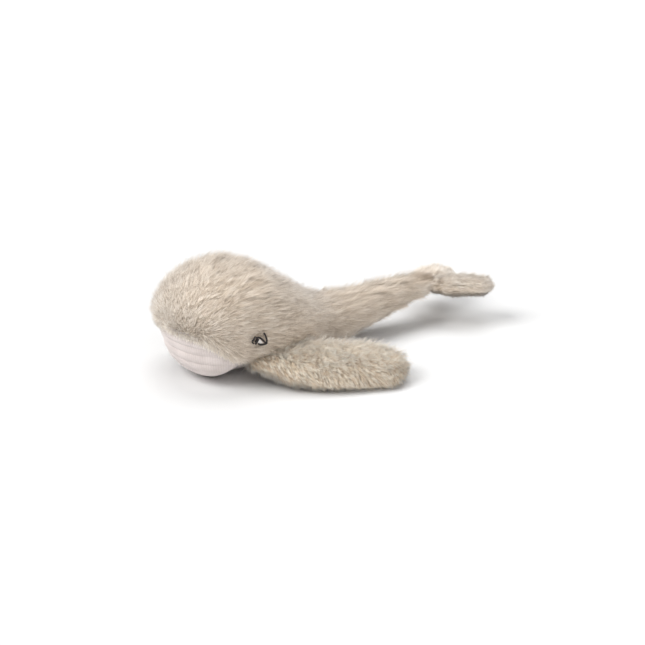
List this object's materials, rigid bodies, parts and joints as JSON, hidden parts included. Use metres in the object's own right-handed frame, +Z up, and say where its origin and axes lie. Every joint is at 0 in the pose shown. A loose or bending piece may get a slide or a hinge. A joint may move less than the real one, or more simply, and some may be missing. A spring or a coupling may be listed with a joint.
{
  "type": "plush whale",
  "caption": "Long-pile plush whale lying on its belly, with a round head, ribbed throat, embroidered eyes, sewn flippers that flap, and a soft tail with a fluke.",
  "frame": {"origin": "on the plane the whale rests on, under the middle of its box", "axes": "+X from the nose to the tail, +Y to the whale's right side, +Z up from the floor"},
  "size_m": [0.4657, 0.334, 0.142],
  "materials": {
    "fur": "long soft pile, matte",
    "throat_fabric": "fine ribbed, matte",
    "stuffing": "loose polyester fibre",
    "black_thread": "twisted thread",
    "white_thread": "satin stitch"
  },
  "bodies": {
    "body": {"top_gusset_fur": "fur", "left_side_fur": "fur", "right_side_fur": "fur", "throat_panel": "throat_fabric", "body_stuffing": "stuffing", "left_eye_thread": "black_thread", "right_eye_thread": "black_thread", "left_eye_white": "white_thread", "right_eye_white": "white_thread"},
    "tail_front": {"tail_front_left_fur": "fur", "tail_front_right_fur": "fur", "tail_front_stuffing": "stuffing"},
    "tail_rear": {"tail_rear_left_fur": "fur", "tail_rear_right_fur": "fur", "tail_rear_stuffing": "stuffing"},
    "left_flipper": {"left_flipper_upper_fur": "fur", "left_flipper_lower_fur": "fur", "left_flipper_stuffing": "stuffing"},
    "right_flipper": {"right_flipper_upper_fur": "fur", "right_flipper_lower_fur": "fur", "right_flipper_stuffing": "stuffing"},
    "left_fluke_lobe": {"left_fluke_lobe_upper_fur": "fur", "left_fluke_lobe_lower_fur": "fur", "left_fluke_lobe_stuffing": "stuffing"},
    "right_fluke_lobe": {"right_fluke_lobe_upper_fur": "fur", "right_fluke_lobe_lower_fur": "fur", "right_fluke_lobe_stuffing": "stuffing"}
  },
  "joints": [
    {"name": "tail_lift", "type": "hinge", "parent": "body", "child": "tail_front", "pos_m": [0.007, 0, 0.036], "axis": [0, -1, 0], "range_deg": [-6, 25], "stiffness_Nm_per_rad": 3},
    {"name": "tail_sway", "type": "hinge", "parent": "tail_front", "child": "tail_rear", "pos_m": [0.075, 0, 0.042], "axis": [0, 0, 1], "range_deg": [-20, 20], "stiffness_Nm_per_rad": 1},
    {"name": "left_flipper_flap", "type": "hinge", "parent": "body", "child": "left_flipper", "pos_m": [-0.126, -0.07141, 0.03], "axis": [-0.9703, -0.2419, 0], "range_deg": [-20, 35]},
    {"name": "right_flipper_flap", "type": "hinge", "parent": "body", "child": "right_flipper", "pos_m": [-0.126, 0.07141, 0.03], "axis": [0.9703, -0.2419, 0], "range_deg": [-20, 35]},
    {"name": "left_lobe_flap", "type": "hinge", "parent": "tail_rear", "child": "left_fluke_lobe", "pos_m": [0.16664, -0.00895, 0.05094], "axis": [-0.7071, -0.7032, 0.0739], "range_deg": [-30, 30], "stiffness_Nm_per_rad": 0.4},
    {"name": "right_lobe_flap", "type": "hinge", "parent": "tail_rear", "child": "right_fluke_lobe", "pos_m": [0.16664, 0.00895, 0.04906], "axis": [0.7071, -0.7032, 0.0739], "range_deg": [-30, 30], "stiffness_Nm_per_rad": 0.4}
  ]
}
